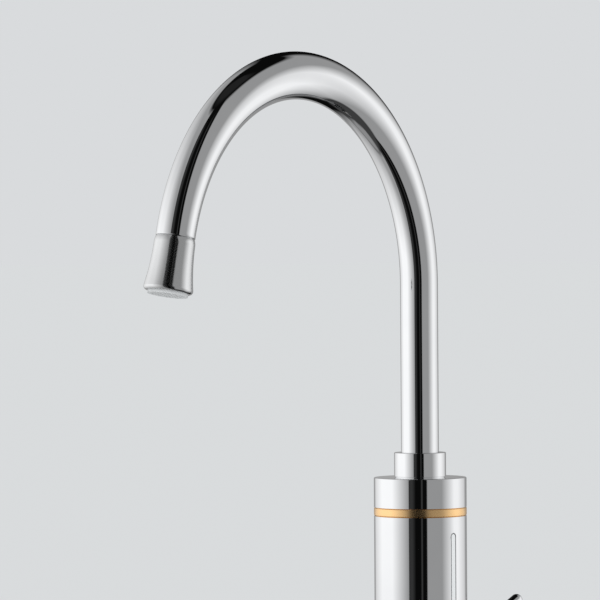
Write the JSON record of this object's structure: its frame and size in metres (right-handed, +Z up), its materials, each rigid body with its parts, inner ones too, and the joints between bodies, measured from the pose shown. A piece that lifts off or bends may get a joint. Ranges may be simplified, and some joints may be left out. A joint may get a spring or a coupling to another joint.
{
  "type": "electric instant water heater tap",
  "caption": "Chromed deck-mounted kitchen tap with a built-in instant heater, a tall swivelling gooseneck spout, a gold ring, a status window and a side lever.",
  "frame": {"origin": "on the worktop's surface at the centre of the tap's base, on the shank's axis", "axes": "+Z up along the body and the spout's swivel axis; -Y is the front with the status window; +X is the lever's side; the spout rests pointing to -X"},
  "size_m": [0.2934, 0.059, 0.4407],
  "materials": {
    "polished_chrome": "polished chrome plate on brass and steel",
    "gold_plate": "satin gold-coloured plate",
    "brass": "machined",
    "steel": "plain stainless or zinc-plated",
    "rubber": "moulded, matt",
    "white_plastic": "moulded acetal or ABS",
    "black_plastic": "moulded",
    "clear_plastic": "clear moulded lens",
    "circuit_board": "green solder mask",
    "ceramic": "lapped alumina ceramic"
  },
  "bodies": {
    "base_unit": {"spout_collar": "polished_chrome", "slide_ring": "white_plastic", "spout_socket": "brass", "top_cap": "polished_chrome", "gold_ring": "gold_plate", "body_shell": "polished_chrome", "shell_screw": "steel", "light_window": "clear_plastic", "status_lights": "clear_plastic", "light_board": "circuit_board", "tank_lid": "brass", "tank_gasket": "rubber", "tank_cup": "steel", "clamp_ring": "steel", "tank_screws": "steel", "heating_element": "steel", "terminals": "steel", "thermal_cutout": "black_plastic", "board_carrier": "white_plastic", "control_board": "circuit_board", "terminal_block": "black_plastic", "power_switch": "black_plastic", "reed_switch": "clear_plastic", "tank_nipple": "brass", "nipple_washer": "rubber", "tank_inlet_nut": "brass", "valve_body": "brass", "cartridge_seal": "rubber", "fixed_disc": "ceramic", "cartridge_housing": "brass", "cartridge_nut": "brass", "side_collar": "polished_chrome", "base_flange": "polished_chrome", "base_gasket": "rubber", "cord_gland": "rubber", "mounting_shank": "brass", "rubber_pad": "rubber", "horseshoe_washer": "steel", "lock_nut": "brass", "inlet_filter": "steel"},
    "spout": {"spout_tube": "polished_chrome", "spout_adapter": "brass", "spout_o_rings": "rubber", "spout_end_bush": "brass", "aerator_housing": "polished_chrome", "aerator_insert": "white_plastic", "aerator_washer": "rubber"},
    "lever": {"moving_disc": "ceramic", "spindle": "brass", "spindle_o_ring": "rubber", "lever_handle": "polished_chrome", "lever_grub_screw": "steel", "index_button": "white_plastic"},
    "flow_plunger": {"flow_plunger": "white_plastic", "plunger_magnet": "steel", "flow_spring": "steel"}
  },
  "joints": [
    {"name": "spout_swivel", "type": "hinge", "parent": "base_unit", "child": "spout", "pos_m": [0, 0, 0.14], "axis": [0, 0, 1], "continuous": true},
    {"name": "lever_turn", "type": "hinge", "parent": "base_unit", "child": "lever", "pos_m": [0.04, 0, 0.032], "axis": [1, 0, 0], "range_deg": [-90, 90]},
    {"name": "flow_switch", "type": "slide", "parent": "base_unit", "child": "flow_plunger", "axis": [0, 0, 1], "range_m": [0, 0.002], "stiffness_N_per_m": 300, "springref_m": -0.002, "deforming": ["flow_spring"]}
  ]
}
